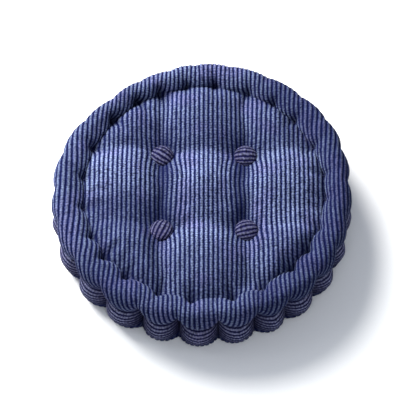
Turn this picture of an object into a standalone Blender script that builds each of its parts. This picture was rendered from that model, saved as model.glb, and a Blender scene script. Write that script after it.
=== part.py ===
"""Round corduroy floor cushion with rolled rims and four pairs of covered buttons.

The cover is a top panel, a band and a bottom panel around a fibre fill. Each rim is gathered
into a roll by a row of thread in the face and another in the band. At each tuft a loop of twine
runs through the fill, from the wire loop of the upper button to that of the lower one.

Metres, +Z up. The origin is the centre of the underside, and the cushion rests on the flat
stretch of its lower roll.
"""

import math

import bmesh
import bpy

# Overall size
DIAMETER = 0.400
HEIGHT = 0.090

# Cover: rims, crown and band
ROLL_WIDTH = 0.033  # from the outermost point in to the groove
GROOVE_DEPTH = 0.0125  # from the crest of the roll down to the groove
REST_WIDTH = 0.006  # flat stretch on each crest
CROWN_DROP = 0.001  # centre of a face, below the crest
CROWN_POWER = 4
UPPER_ROLL_HEIGHT = 0.035  # from the crest of the upper roll down to its seam
UPPER_SEAM_INSET = 0.006  # seam, inside the outermost point
LOWER_ROLL_HEIGHT = 0.016  # the lower roll is pressed flat under the cushion
LOWER_SEAM_INSET = 0.0005
BAND_BULGE = 0.002
CLOTH = 0.0013

# Tufts
TUFT_SPACING = 0.114  # side of the square of buttons
TUFT_DEPTH = 0.024  # seat of a button, below the crown
TUFT_SPREAD = 0.032  # from the edge of the seat to the undisturbed face

# Covered buttons
BUTTON_DIAMETER = 0.030
BUTTON_HEIGHT = 0.009
BUTTON_EDGE = 0.0035  # height of the upright edge, below the dome
BUTTON_CLOTH = 0.0011
SEAT_MARGIN = BUTTON_DIAMETER / 10  # seat beyond the rim of the button
HEM_WIDTH = 0.0045  # cloth turned in under the button
SHELL_WALL = 0.0005
PLATE_WALL = 0.0008
WIRE_DIAMETER = 0.0012
WIRE_FOOT = 0.004  # length of each foot above the plate
LOOP_REACH = 0.0030  # centre of the eye, below the button

# Twine and threads
TWINE_DIAMETER = 0.0014
THREAD_DIAMETER = 0.0012
PINCH_DROP = 0.004  # thread in the band, away from the seam

# Fits
CLEARANCE = 0.0003  # between pieces that touch
SEAT_GAP = 0.0008  # button above its faceted seat
HOLE_CLEARANCE = 0.0008  # twine and wire in their holes

# Tessellation
CUSHION_STEPS = 32  # a multiple of eight, so that a column of points meets each tuft
BUTTON_STEPS = 12
ARC_STEPS = 3
BAND_STEPS = 6
WIRE_ARC_STEPS = 4

# Derived sizes
RADIUS = DIAMETER / 2
CREST_RADIUS = RADIUS - ROLL_WIDTH / 2
GROOVE_RADIUS = RADIUS - ROLL_WIDTH
GROOVE_Z = HEIGHT - GROOVE_DEPTH
CROWN_Z = HEIGHT - CROWN_DROP
UPPER_SEAM_RADIUS = RADIUS - UPPER_SEAM_INSET
UPPER_SEAM_Z = HEIGHT - UPPER_ROLL_HEIGHT
LOWER_SEAM_RADIUS = RADIUS - LOWER_SEAM_INSET
LOWER_SEAM_Z = LOWER_ROLL_HEIGHT
WIDEST_Z = (HEIGHT + UPPER_SEAM_Z) / 2
TUFT_RADIUS = TUFT_SPACING / math.sqrt(2)
SEAT_RADIUS = BUTTON_DIAMETER / 2 + SEAT_MARGIN
SHELL_RADIUS = BUTTON_DIAMETER / 2 - BUTTON_CLOTH - CLEARANCE
PLATE_RADIUS = SHELL_RADIUS - SHELL_WALL - CLEARANCE
PLATE_BASE = BUTTON_CLOTH + CLEARANCE
EYE_RADIUS = (TWINE_DIAMETER + WIRE_DIAMETER) / 2 + CLEARANCE
EYE_OUTSIDE = EYE_RADIUS + max(WIRE_DIAMETER, TWINE_DIAMETER) / 2
TUFT_HOLE_RADIUS = EYE_OUTSIDE + HOLE_CLEARANCE
TUFT_CHANNEL_RADIUS = TUFT_HOLE_RADIUS + CLEARANCE

TUFTS = {
    "front_left": (-1, -1),
    "front_right": (1, -1),
    "back_left": (-1, 1),
    "back_right": (1, 1),
}


def clear_scene():
    """Remove every object, mesh, curve and material of the startup scene."""
    for block in (bpy.data.objects, bpy.data.meshes, bpy.data.curves, bpy.data.materials):
        for item in list(block):
            block.remove(item)


def new_collection(name, hidden=False):
    collection = bpy.data.collections.new(name)
    bpy.context.scene.collection.children.link(collection)
    collection.hide_render = hidden
    return collection


def new_material(name, colour, roughness, metallic=0.0):
    material = bpy.data.materials.new(name)
    material.use_nodes = True
    shader = material.node_tree.nodes["Principled BSDF"]
    shader.inputs["Base Color"].default_value = (*colour, 1.0)
    shader.inputs["Roughness"].default_value = roughness
    shader.inputs["Metallic"].default_value = metallic
    return material


def place(name, data, material, collection):
    """An object in the collection, with the material on its data."""
    obj = bpy.data.objects.new(name, data)
    if not data.materials:
        data.materials.append(material)
    collection.objects.link(obj)
    return obj


# Outlines, as (radius, height) points


def crown_height(radius):
    """Outside of the upper face, before the tufts pull it down."""
    rise = 1 - (radius / GROOVE_RADIUS) ** CROWN_POWER
    return GROOVE_Z + (CROWN_Z - GROOVE_Z) * rise


def crown_rings():
    """Radii of the rings of points on a face, closest about the circle that holds the tufts."""
    steps = (-3.2, -1.9, -1, -0.5, 0.5, 1, 1.9, 3.2)
    rings = [TUFT_RADIUS + step * SEAT_RADIUS for step in steps]
    last = rings[-1]
    return [0.0] + rings + [(last + GROOVE_RADIUS) / 2, GROOVE_RADIUS]


def arc(centre, size, start, end, steps=ARC_STEPS):
    """Points on an ellipse between two angles in degrees, without the first one."""
    points = []
    for step in range(1, steps + 1):
        angle = math.radians(start + (end - start) * step / steps)
        points.append((centre[0] + size[0] * math.cos(angle), centre[1] + size[1] * math.sin(angle)))
    return points


def face_outline():
    """Outside of a face from the axis over the crown and the groove to the flat of the crest."""
    inner_crest = CREST_RADIUS - REST_WIDTH / 2
    points = [(radius, crown_height(radius)) for radius in crown_rings()]
    points += arc((inner_crest, GROOVE_Z), (inner_crest - GROOVE_RADIUS, GROOVE_DEPTH), 180, 90)
    points.append((CREST_RADIUS + REST_WIDTH / 2, HEIGHT))
    return points


def top_outline():
    """Outside of the top panel: its face, and the full roll down to the seam under its side."""
    outer_crest = CREST_RADIUS + REST_WIDTH / 2
    points = face_outline()
    points += arc((outer_crest, WIDEST_Z), (RADIUS - outer_crest, HEIGHT - WIDEST_Z), 90, 0)
    lower_size = (UPPER_SEAM_INSET, WIDEST_Z - UPPER_SEAM_Z - CLEARANCE / 2)
    points += arc((UPPER_SEAM_RADIUS, WIDEST_Z), lower_size, 0, -90)
    return points


def bottom_outline():
    """Outside of the bottom panel turned face up: its face, and a roll pressed almost flat."""
    outer_crest = CREST_RADIUS + REST_WIDTH / 2
    rise = LOWER_ROLL_HEIGHT - CLEARANCE / 2
    return face_outline() + arc((outer_crest, HEIGHT - rise), (LOWER_SEAM_RADIUS - outer_crest, rise), 90, 0)


def band_outline():
    """Outside of the band, from the upper seam to the lower one, a little fuller between them."""
    upper, lower = UPPER_SEAM_Z - CLEARANCE / 2, LOWER_SEAM_Z + CLEARANCE / 2
    points = []
    for step in range(BAND_STEPS + 1):
        share = step / BAND_STEPS
        radius = UPPER_SEAM_RADIUS + (LOWER_SEAM_RADIUS - UPPER_SEAM_RADIUS) * share
        radius += BAND_BULGE * math.sin(math.pi * share)
        points.append((radius, upper + (lower - upper) * share))
    return points


def band_radius(height):
    """Outside radius of the band at a height."""
    outline = band_outline()
    for (first, above), (second, below) in zip(outline, outline[1:]):
        if below <= height <= above:
            return first + (second - first) * (above - height) / (above - below)
    raise ValueError("no band at this height")


def inset(points, distance):
    """The outline moved inwards, with mitred corners. It runs out from the axis and down."""
    moved = []
    for index, (radius, height) in enumerate(points):
        before = points[max(index - 1, 0)]
        after = points[min(index + 1, len(points) - 1)]
        normals = []
        for start, end in ((before, (radius, height)), ((radius, height), after)):
            along = (end[0] - start[0], end[1] - start[1])
            length = math.hypot(*along)
            if length > 0:
                normals.append((along[1] / length, -along[0] / length))
        mean = [sum(parts) / len(normals) for parts in zip(*normals)]
        scale = distance / (mean[0] ** 2 + mean[1] ** 2)
        inside = radius + mean[0] * scale if radius > 0 else 0.0
        moved.append((inside, height + mean[1] * scale))
    return moved


def shell_outline(points, wall):
    """A closed wall: the outline, then the same outline moved in by the wall and run back."""
    return points + inset(points, wall)[::-1]


def fill_outline():
    """Outline of the whole fill, a clearance inside the cover."""
    upper = top_outline()
    lower = [(radius, HEIGHT - height) for radius, height in reversed(bottom_outline())]
    return inset(upper + band_outline() + lower, CLOTH + CLEARANCE)


# Solids


def turned(name, outline, steps, material, collection):
    """The outline carried once round Z. It runs down the outer side, top to bottom."""
    mesh = bpy.data.meshes.new(name)
    count = len(outline)
    edges = [(index, index + 1) for index in range(count - 1)]
    if outline[0][0] > 0:
        edges.append((count - 1, 0))
    mesh.from_pydata([(radius, 0.0, height) for radius, height in outline], edges, [])
    obj = place(name, mesh, material, collection)
    screw = obj.modifiers.new("turn", "SCREW")
    screw.steps = steps
    screw.render_steps = steps
    screw.use_merge_vertices = True
    screw.merge_threshold = 0.00001
    screw.use_smooth_shade = True
    return obj


def realised(obj):
    """The same object with its modifiers made part of its mesh."""
    graph = bpy.context.evaluated_depsgraph_get()
    mesh = bpy.data.meshes.new_from_object(obj.evaluated_get(graph))
    mesh.name = obj.name
    obj.modifiers.clear()
    obj.data = mesh
    return obj


def tuft_share(x, y):
    """How far a point is pulled in by the nearest tuft: 1 on the seat, 0 clear of it."""
    nearest = min(math.hypot(x - px, y - py) for px, py in tuft_places())
    blend = min(max((nearest - SEAT_RADIUS) / TUFT_SPREAD, 0.0), 1.0)
    return 1 - blend * blend * (3 - 2 * blend)


def tuft_places():
    return [(sx * TUFT_SPACING / 2, sy * TUFT_SPACING / 2) for sx, sy in TUFTS.values()]


def pull_in_tufts(obj):
    """Move both faces towards the middle about each tuft, onto a level seat for the button.

    Each four-sided face is then split along its shorter diagonal, so that the wall of a panel
    and the fill below it fold alike.
    """
    seat_z = CROWN_Z - TUFT_DEPTH
    for vertex in obj.data.vertices:
        x, y, z = vertex.co
        side = 1 if z > HEIGHT / 2 else -1
        surface = HEIGHT / 2 + side * (crown_height(min(math.hypot(x, y), GROOVE_RADIUS)) - HEIGHT / 2)
        seat = HEIGHT / 2 + side * (seat_z - HEIGHT / 2)
        vertex.co.z = z + (seat - surface) * tuft_share(x, y)
    solid = bmesh.new()
    solid.from_mesh(obj.data)
    bmesh.ops.triangulate(solid, faces=solid.faces, quad_method="SHORT_EDGE")
    solid.to_mesh(obj.data)
    solid.free()


def tuft_cutters(radius, label, collection):
    """One upright cylinder at each tuft, longer than the cushion is high."""
    cutters = []
    for name, (x, y) in zip(TUFTS, tuft_places()):
        mesh = bpy.data.meshes.new(f"{label}_{name}")
        solid = bmesh.new()
        bmesh.ops.create_cone(
            solid,
            cap_ends=True,
            segments=12,
            radius1=radius,
            radius2=radius,
            depth=HEIGHT * 1.5,
        )
        solid.to_mesh(mesh)
        solid.free()
        cutter = bpy.data.objects.new(f"{label}_{name}", mesh)
        cutter.location = (x, y, HEIGHT / 2)
        cutter.hide_render = True
        cutter.display_type = "WIRE"
        collection.objects.link(cutter)
        cutters.append(cutter)
    return cutters


def cut(obj, cutters):
    for cutter in cutters:
        boolean = obj.modifiers.new(cutter.name, "BOOLEAN")
        boolean.operation = "DIFFERENCE"
        boolean.solver = "EXACT"
        boolean.object = cutter


def tube(name, points, radius, cyclic, material, collection):
    """A round wire along straight runs between the points."""
    curve = bpy.data.curves.new(name, "CURVE")
    curve.dimensions = "3D"
    curve.bevel_depth = radius
    curve.bevel_resolution = 1
    curve.use_fill_caps = not cyclic
    spline = curve.splines.new("POLY")
    spline.points.add(len(points) - 1)
    for spline_point, point in zip(spline.points, points):
        spline_point.co = (*point, 1.0)
    spline.use_cyclic_u = cyclic
    return place(name, curve, material, collection)


def ring_thread(name, radius, height, material, collection):
    """A thread round the cushion, with its corners over those of the cover."""
    points = []
    for step in range(CUSHION_STEPS):
        angle = 2 * math.pi * step / CUSHION_STEPS
        points.append((radius * math.cos(angle), radius * math.sin(angle), height))
    return tube(name, points, THREAD_DIAMETER / 2, True, material, collection)


# Sub-parts


def build_cover(materials, parts, cutters):
    """Top panel, band and bottom panel. The bottom panel is made face up, then turned over."""
    holes = tuft_cutters(TUFT_HOLE_RADIUS, "tuft_hole", cutters)
    panels = {"top_panel": top_outline(), "bottom_panel": bottom_outline()}
    for name, outline in panels.items():
        panel = turned(name, shell_outline(outline, CLOTH), CUSHION_STEPS, materials["corduroy"], parts)
        pull_in_tufts(realised(panel))
        if name == "bottom_panel":
            panel.rotation_euler.x = math.pi
            panel.location.z = HEIGHT
        cut(panel, holes)
    band = shell_outline(band_outline(), CLOTH)
    turned("side_band", band, CUSHION_STEPS, materials["corduroy"], parts)


def build_fill(materials, parts, cutters):
    """The fibre fill, with a channel for the twine at each tuft."""
    fill = turned("fibre_fill", fill_outline(), CUSHION_STEPS, materials["fibre"], parts)
    pull_in_tufts(realised(fill))
    cut(fill, tuft_cutters(TUFT_CHANNEL_RADIUS, "tuft_channel", cutters))


def build_rim_threads(materials, parts):
    """The two rows of thread that hold each roll: one in the groove, one in the band."""
    stand_off = THREAD_DIAMETER / 2 + CLEARANCE
    groove_radius = GROOVE_RADIUS - stand_off
    groove_z = crown_height(groove_radius) + stand_off
    rows = {
        "upper_groove_thread": (groove_radius, groove_z),
        "lower_groove_thread": (groove_radius, HEIGHT - groove_z),
    }
    for name, height in (
        ("upper_band_thread", UPPER_SEAM_Z - PINCH_DROP),
        ("lower_band_thread", LOWER_SEAM_Z + PINCH_DROP),
    ):
        rows[name] = (band_radius(height) + stand_off, height)
    for name, (radius, height) in rows.items():
        ring_thread(name, radius, height, materials["thread"], parts)


def dome_outline(radius, top, base, edge):
    """A domed cap from the axis: an elliptical dome over an upright edge."""
    dome = arc((0.0, base + edge), (radius, top - base - edge), 90, 0)
    return [(0.0, top)] + dome + [(radius, base)]


def button_cover(name, materials, parts):
    """Cloth over the button, turned in under it as a flat hem."""
    radius = BUTTON_DIAMETER / 2
    outside = dome_outline(radius, BUTTON_HEIGHT, 0.0, BUTTON_EDGE)
    inside_edge = BUTTON_EDGE - BUTTON_CLOTH
    inside = dome_outline(radius - BUTTON_CLOTH, BUTTON_HEIGHT - BUTTON_CLOTH, BUTTON_CLOTH, inside_edge)
    hem = [(radius - HEM_WIDTH, 0.0), (radius - HEM_WIDTH, BUTTON_CLOTH)]
    return turned(name, outside + hem + inside[::-1], BUTTON_STEPS, materials["button_corduroy"], parts)


def button_shell(name, materials, parts):
    """The pressed metal cap inside the cloth."""
    top = BUTTON_HEIGHT - BUTTON_CLOTH - CLEARANCE
    edge = BUTTON_EDGE - PLATE_BASE
    outside = dome_outline(SHELL_RADIUS, top, PLATE_BASE, edge)
    inside = dome_outline(SHELL_RADIUS - SHELL_WALL, top - SHELL_WALL, PLATE_BASE, edge)
    return turned(name, outside + inside[::-1], BUTTON_STEPS, materials["button_metal"], parts)


def button_plate(name, materials, parts):
    """The back plate, with a hole for the wire loop."""
    hole = EYE_RADIUS + WIRE_DIAMETER / 2 + HOLE_CLEARANCE
    outline = [
        (hole, PLATE_BASE + PLATE_WALL),
        (PLATE_RADIUS, PLATE_BASE + PLATE_WALL),
        (PLATE_RADIUS, PLATE_BASE),
        (hole, PLATE_BASE),
    ]
    return turned(name, outline, BUTTON_STEPS, materials["button_metal"], parts)


def button_loop(name, materials, parts):
    """The wire loop: two feet above the plate, and the eye hanging through its hole."""
    foot_z = PLATE_BASE + PLATE_WALL + CLEARANCE + WIRE_DIAMETER / 2
    points = [(-EYE_RADIUS - WIRE_FOOT, 0.0, foot_z), (-EYE_RADIUS, 0.0, foot_z)]
    for x, z in [(-EYE_RADIUS, -LOOP_REACH)] + arc((0.0, -LOOP_REACH), (EYE_RADIUS, EYE_RADIUS), 180, 360, WIRE_ARC_STEPS):
        points.append((x, 0.0, z))
    points += [(EYE_RADIUS, 0.0, foot_z), (EYE_RADIUS + WIRE_FOOT, 0.0, foot_z)]
    return tube(name, points, WIRE_DIAMETER / 2, False, materials["wire"], parts)


def build_buttons(materials, parts):
    """Eight covered buttons of four pieces each, which share the meshes of the first."""
    seat_z = CROWN_Z - TUFT_DEPTH + SEAT_GAP
    makers = {
        "cover": button_cover,
        "shell": button_shell,
        "plate": button_plate,
        "wire_loop": button_loop,
    }
    for piece, make in makers.items():
        first = None
        for side in ("upper", "lower"):
            for name, (x, y) in zip(TUFTS, tuft_places()):
                full_name = f"{side}_button_{piece}_{name}"
                if first is None:
                    obj = first = make(full_name, materials, parts)
                else:
                    obj = place(full_name, first.data, None, parts)
                    copy_modifiers(first, obj)
                obj.location = (x, y, seat_z if side == "upper" else HEIGHT - seat_z)
                obj.rotation_euler.x = 0.0 if side == "upper" else math.pi


def copy_modifiers(source, target):
    """Give the target the Screw of the source."""
    for modifier in source.modifiers:
        twin = target.modifiers.new(modifier.name, modifier.type)
        twin.steps = modifier.steps
        twin.render_steps = modifier.render_steps
        twin.use_merge_vertices = modifier.use_merge_vertices
        twin.merge_threshold = modifier.merge_threshold
        twin.use_smooth_shade = modifier.use_smooth_shade


def build_twines(materials, parts):
    """At each tuft, one loop of twine through the eyes of both wire loops."""
    eye_z = CROWN_Z - TUFT_DEPTH + SEAT_GAP - LOOP_REACH - EYE_RADIUS
    for name, (x, y) in zip(TUFTS, tuft_places()):
        outline = [(EYE_RADIUS, eye_z)] + arc((0.0, eye_z), (EYE_RADIUS, EYE_RADIUS), 0, 180, WIRE_ARC_STEPS)
        outline += [(across, HEIGHT - z) for across, z in reversed(outline)]
        points = [(x, y + across, z) for across, z in outline]
        tube(f"tuft_twine_{name}", points, TWINE_DIAMETER / 2, True, materials["twine"], parts)


def build():
    clear_scene()
    parts = new_collection("floor_cushion")
    cutters = new_collection("cutters", hidden=True)
    materials = {
        "corduroy": new_material("corduroy", (0.075, 0.090, 0.240), 0.9),
        "button_corduroy": new_material("button_corduroy", (0.065, 0.062, 0.160), 0.9),
        "fibre": new_material("fibre", (0.85, 0.84, 0.80), 1.0),
        "thread": new_material("thread", (0.020, 0.018, 0.060), 0.8),
        "twine": new_material("twine", (0.70, 0.66, 0.55), 0.85),
        "button_metal": new_material("button_metal", (0.70, 0.71, 0.72), 0.35, 1.0),
        "wire": new_material("wire", (0.55, 0.55, 0.56), 0.3, 1.0),
    }
    build_cover(materials, parts, cutters)
    build_fill(materials, parts, cutters)
    build_rim_threads(materials, parts)
    build_buttons(materials, parts)
    build_twines(materials, parts)


build()
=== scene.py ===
"""Round corduroy floor cushion: its cloth, stitching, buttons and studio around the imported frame.

Lengths are in metres. The cover is worked out as surfaces of two cloth coordinates, the distance
from the middle of a panel and the bearing round it, then let settle as cloth under pressure.
Each panel is finally cut along its wales, so that every wale is a ridge of the mesh.
"""

import logging
import math
from dataclasses import dataclass, field
from enum import Enum
from typing import Any, Callable, Optional, Sequence, Union

import bpy
import numpy as np
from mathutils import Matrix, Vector


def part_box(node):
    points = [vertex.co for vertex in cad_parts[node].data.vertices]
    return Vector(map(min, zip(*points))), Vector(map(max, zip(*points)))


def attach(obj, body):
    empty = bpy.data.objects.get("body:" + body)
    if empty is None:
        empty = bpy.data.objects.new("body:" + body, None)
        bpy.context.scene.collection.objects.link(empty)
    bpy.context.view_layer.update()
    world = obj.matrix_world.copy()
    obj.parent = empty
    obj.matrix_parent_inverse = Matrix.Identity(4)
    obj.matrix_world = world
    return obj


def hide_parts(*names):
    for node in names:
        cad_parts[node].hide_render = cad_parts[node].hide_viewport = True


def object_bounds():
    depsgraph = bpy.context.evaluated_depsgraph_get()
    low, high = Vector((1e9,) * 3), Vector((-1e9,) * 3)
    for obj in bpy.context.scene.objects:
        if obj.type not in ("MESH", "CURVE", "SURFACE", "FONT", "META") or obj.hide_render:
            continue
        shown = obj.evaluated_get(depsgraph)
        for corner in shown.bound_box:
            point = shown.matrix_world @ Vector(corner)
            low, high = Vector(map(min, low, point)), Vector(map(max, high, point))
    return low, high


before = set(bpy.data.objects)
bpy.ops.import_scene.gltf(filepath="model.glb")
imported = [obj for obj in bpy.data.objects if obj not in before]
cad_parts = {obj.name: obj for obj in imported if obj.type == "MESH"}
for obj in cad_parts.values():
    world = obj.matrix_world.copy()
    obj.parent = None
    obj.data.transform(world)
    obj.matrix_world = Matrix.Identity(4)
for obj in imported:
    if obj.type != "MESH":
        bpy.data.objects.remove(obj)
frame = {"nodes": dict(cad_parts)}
CAD_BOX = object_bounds()

Array = np.ndarray
Colour = tuple[float, float, float]
LOG = logging.getLogger("cushion")
CLOTH_MAP = "cloth"
# Mesh attribute of painted shade, from 0 to 1, that darkens the corduroy.
PAINTED_SHADE = "crease"
BODY = "root"
TURN = 2.0 * math.pi


class Face(Enum):
    """The two faces of the cushion, with the sign of their outward direction."""

    UPPER = 1
    LOWER = -1


class Slot(Enum):
    """The record's material slots."""

    CORDUROY = "corduroy"
    BAND = "band_corduroy"
    BUTTON = "button_corduroy"
    FIBRE = "fibre"
    THREAD = "thread"
    TWINE = "twine"
    METAL = "button_metal"
    WIRE = "wire"


# ---------------------------------------------------------------- shader maths


def math_node(operation: str, reflected: bool = False) -> Callable[..., "Wire"]:
    """An operator for Wire, which adds one Math node.

    Args:
        operation: the Math node's operation.
        reflected: whether the Wire is the second operand.

    Returns:
        A method of the Wire and the other operand, which operations on one value ignore.
    """

    def method(self: "Wire", other: Any = 0.0) -> "Wire":
        """The operation on the Wire and the other operand."""
        first, second = (other, self) if reflected else (self, other)
        return self.graph.node("ShaderNodeMath", {"operation": operation}, {0: first, 1: second})

    return method


class Wire:
    """A socket of a node tree, on which Python's operators add Math nodes.

    The whole part, the part after the point, the value without its sign and the sine are methods.
    """

    def __init__(self, graph: "Graph", socket: bpy.types.NodeSocket) -> None:
        """Wrap a socket of the graph."""
        self.graph = graph
        self.socket = socket

    __add__ = math_node("ADD")
    __radd__ = math_node("ADD", reflected=True)
    __sub__ = math_node("SUBTRACT")
    __rsub__ = math_node("SUBTRACT", reflected=True)
    __mul__ = math_node("MULTIPLY")
    __rmul__ = math_node("MULTIPLY", reflected=True)
    __truediv__ = math_node("DIVIDE")
    fraction = math_node("FRACT")
    floor = math_node("FLOOR")
    size = math_node("ABSOLUTE")
    sine = math_node("SINE")

    def between(self, low: float, high: float) -> "Wire":
        """0 at low, 1 at high, smooth between them and level outside."""
        return self.graph.node(
            "ShaderNodeMapRange",
            {"interpolation_type": "SMOOTHSTEP"},
            {"Value": self, "From Min": low, "From Max": high},
        )


class Graph:
    """A material's node tree, built by expressions."""

    def __init__(self, name: str) -> None:
        """Start a material with its Principled shader."""
        self.material = bpy.data.materials.new(name)
        self.material.use_nodes = True
        self.tree = self.material.node_tree
        self.shader = self.tree.nodes["Principled BSDF"]

    def node(
        self,
        kind: str,
        settings: Optional[dict[str, Any]] = None,
        inputs: Optional[dict[Union[int, str], Any]] = None,
        output: Union[int, str] = 0,
    ) -> Wire:
        """Add a node.

        Args:
            kind: the node's type.
            settings: its own settings, set first.
            inputs: a value or a Wire for each socket, by index or name.
            output: the socket to return.

        Returns:
            The output as a Wire.
        """
        node = self.tree.nodes.new(kind)
        for key, value in (settings or {}).items():
            setattr(node, key, value)
        for key, value in (inputs or {}).items():
            self.feed(node.inputs[key], value)
        return Wire(self, node.outputs[output])

    def feed(self, socket: bpy.types.NodeSocket, value: Any) -> None:
        """Link a Wire to a socket, or set its value."""
        if isinstance(value, Wire):
            self.tree.links.new(value.socket, socket)
        elif isinstance(value, tuple) and len(value) == 3 and len(socket.default_value) == 4:
            socket.default_value = (*value, 1.0)
        else:
            socket.default_value = value

    def mix(self, factor: Any, first: Any, second: Any) -> Wire:
        """The colour first where the factor is 0, and second where it is 1."""
        return self.node(
            "ShaderNodeMix", {"data_type": "RGBA"}, {0: factor, 6: first, 7: second}, output=2
        )

    def tint(self, colour: Any, factor: Any) -> Wire:
        """The colour with each channel times a number."""
        return self.node(
            "ShaderNodeVectorMath", {"operation": "SCALE"}, {0: colour, "Scale": factor}
        )

    def noise(self, vector: Wire, scale: float, detail: float = 2.0) -> Wire:
        """A noise of about 0 to 1, with 0.5 as its middle."""
        return self.node(
            "ShaderNodeTexNoise", None, {"Vector": vector, "Scale": scale, "Detail": detail}
        )

    def place(self) -> Wire:
        """Object coordinates, in metres."""
        return self.node("ShaderNodeTexCoord", output="Object")

    def cloth(self) -> Wire:
        """The piece's own cloth coordinates: metres across its wales and along them."""
        return self.node("ShaderNodeUVMap", {"uv_map": CLOTH_MAP})

    def parts(self, vector: Wire) -> tuple[Wire, Wire]:
        """The first two parts of a vector."""
        split = self.node("ShaderNodeSeparateXYZ", None, {0: vector})
        return split, Wire(self, split.socket.node.outputs[1])

    def joined(self, x: Any, y: Any, z: Any = 0.0) -> Wire:
        """A vector of three numbers."""
        return self.node("ShaderNodeCombineXYZ", None, {0: x, 1: y, 2: z})

    def bump(self, height: Wire, distance: float, strength: float = 1.0) -> Wire:
        """A normal tilted by a height of 0 to 1 that stands for a distance in metres."""
        return self.node(
            "ShaderNodeBump", None, {"Height": height, "Distance": distance, "Strength": strength}
        )

    def finish(self, **sockets: Any) -> bpy.types.Material:
        """Set the shader's sockets, whose names have underscores for spaces."""
        for key, value in sockets.items():
            self.feed(self.shader.inputs[key.replace("_", " ")], value)
        return self.material


# ---------------------------------------------------------------- finishes


@dataclass(frozen=True)
class Corduroy:
    """Cut-pile cloth with raised wales. Each wale is a row of tufts between bare grooves."""

    name: str
    crest: Colour
    flank: Colour
    groove: Colour
    violet: Colour
    pitch: float
    bead: float = 0.0037
    nap_depth: float = 0.0006
    # How far painted shade turns the colour to the groove's navy, and how far it dims it.
    painted_shade_tint: float = 0.74
    painted_shade_dim: float = 0.28

    def make(self) -> bpy.types.Material:
        """Build the material on the piece's cloth coordinates.

        Away is 0 on a wale's crest and 1 in the groove, and ragged is the same with a torn edge.
        Each wale's tufts start at a place of its own, 43.7 sin(12.9898 n) tufts along.
        """
        graph = Graph(self.name)
        across, along = graph.parts(graph.cloth())
        place = graph.place()
        wale = across / self.pitch
        away = (wale.fraction() - 0.5).size() * 2.0
        row = (wale.floor() * 12.9898).sine() * 43.7
        wander = graph.noise(place, 90.0) * 1.6
        beads = ((along / self.bead + wander + row) * TURN).sine() * 0.5 + 0.5
        pile = graph.joined(across * 1.7, along, row)
        clumps = graph.noise(pile, 330.0, 3.0).between(0.25, 0.75)
        fibres = graph.noise(place, 700.0, 4.0)
        nap = graph.noise(pile, 40.0, 3.0)
        wash = graph.noise(place, 13.0, 2.0)
        ragged = away + (fibres - 0.5) * 0.30 - (clumps - 0.5) * 0.20
        patch = graph.noise(place, 24.0, 2.0).between(0.46, 0.66) * 0.75
        crest = graph.mix(patch, self.crest, self.violet)
        # Painted shade across each wale: darker on its flanks and near black in the groove, over the
        # ridges' own shading.
        flank = graph.mix(ragged.between(0.12, 0.62), crest, self.flank)
        cloth = graph.mix(ragged.between(0.46, 0.80), flank, self.groove)
        pile_wear = clumps * 0.95 + beads * 0.50 + fibres * 1.05
        worn = pile_wear + (nap - 0.5) * 0.8 + (wash - 0.5) * 0.6 - 0.26
        # Painted shade from the mesh attribute dims the colour and turns it towards the groove's navy.
        crease = graph.node("ShaderNodeAttribute", {"attribute_name": PAINTED_SHADE}, output="Fac")
        lit = graph.tint(cloth, worn * (1.0 - crease * self.painted_shade_dim))
        colour = graph.mix(crease * self.painted_shade_tint, lit, self.groove)
        height = (1.0 - away * away) * 0.30 + beads * 0.25 + clumps * 0.20 + fibres * 0.25
        return graph.finish(
            Base_Color=colour,
            Roughness=0.82 + fibres * 0.16,
            Normal=graph.bump(height, self.nap_depth),
            Specular_IOR_Level=0.05,
        )


@dataclass(frozen=True)
class Strand:
    """Twisted thread or twine, with stripes of two colours for its ply."""

    name: str
    light: Colour
    dark: Colour
    lay: float

    def make(self) -> bpy.types.Material:
        """Build the material. The stripes slant across the piece, one to each lay of the ply."""
        graph = Graph(self.name)
        place = graph.place()
        x, y = graph.parts(place)
        slant = graph.node("ShaderNodeSeparateXYZ", None, {0: place}, output=2)
        ply = ((x + y * 0.7 + slant * 1.3) * (TURN / self.lay)).sine() * 0.5 + 0.5
        fuzz = graph.noise(place, 3200.0, 3.0)
        colour = graph.mix(ply * 0.7 + fuzz * 0.3, self.dark, self.light)
        return graph.finish(
            Base_Color=colour,
            Roughness=0.70 + fuzz * 0.2,
            Normal=graph.bump(ply * 0.7 + fuzz * 0.3, 0.0002),
            Specular_IOR_Level=0.2,
        )


@dataclass(frozen=True)
class Fibre:
    """Loose white stuffing."""

    name: str
    light: Colour
    dark: Colour

    def make(self) -> bpy.types.Material:
        """Build the material from soft clumps and fine crossing hairs."""
        graph = Graph(self.name)
        place = graph.place()
        clumps = graph.noise(place, 60.0, 4.0)
        hairs = graph.noise(place, 1500.0, 4.0)
        colour = graph.mix(clumps.between(0.3, 0.7), self.dark, self.light)
        return graph.finish(
            Base_Color=colour,
            Roughness=0.9 + hairs * 0.1,
            Normal=graph.bump(clumps * 0.7 + hairs * 0.3, 0.003),
            Sheen_Weight=0.3,
        )


@dataclass(frozen=True)
class Metal:
    """Pressed sheet or drawn wire, with fine marks of the tool."""

    name: str
    colour: Colour
    roughness: float
    grain: float

    def make(self) -> bpy.types.Material:
        """Build the material. Fine scratches and dull patches change its roughness."""
        graph = Graph(self.name)
        place = graph.place()
        marks = graph.noise(place, self.grain, 4.0)
        dull = graph.noise(place, 180.0, 2.0)
        return graph.finish(
            Base_Color=graph.tint(self.colour, 0.85 + dull * 0.3),
            Roughness=self.roughness + marks * 0.15 + (dull - 0.5) * 0.15,
            Metallic=1.0,
            Normal=graph.bump(marks, 0.00004),
        )


@dataclass(frozen=True)
class Paper:
    """The plain pale floor of the studio."""

    name: str
    colour: Colour

    def make(self) -> bpy.types.Material:
        """Build a matt material with a trace of tooth."""
        graph = Graph(self.name)
        tooth = graph.noise(graph.place(), 240.0, 2.0)
        return graph.finish(
            Base_Color=graph.tint(self.colour, 0.99 + tooth * 0.02),
            Roughness=0.9,
            Specular_IOR_Level=0.1,
        )


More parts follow.
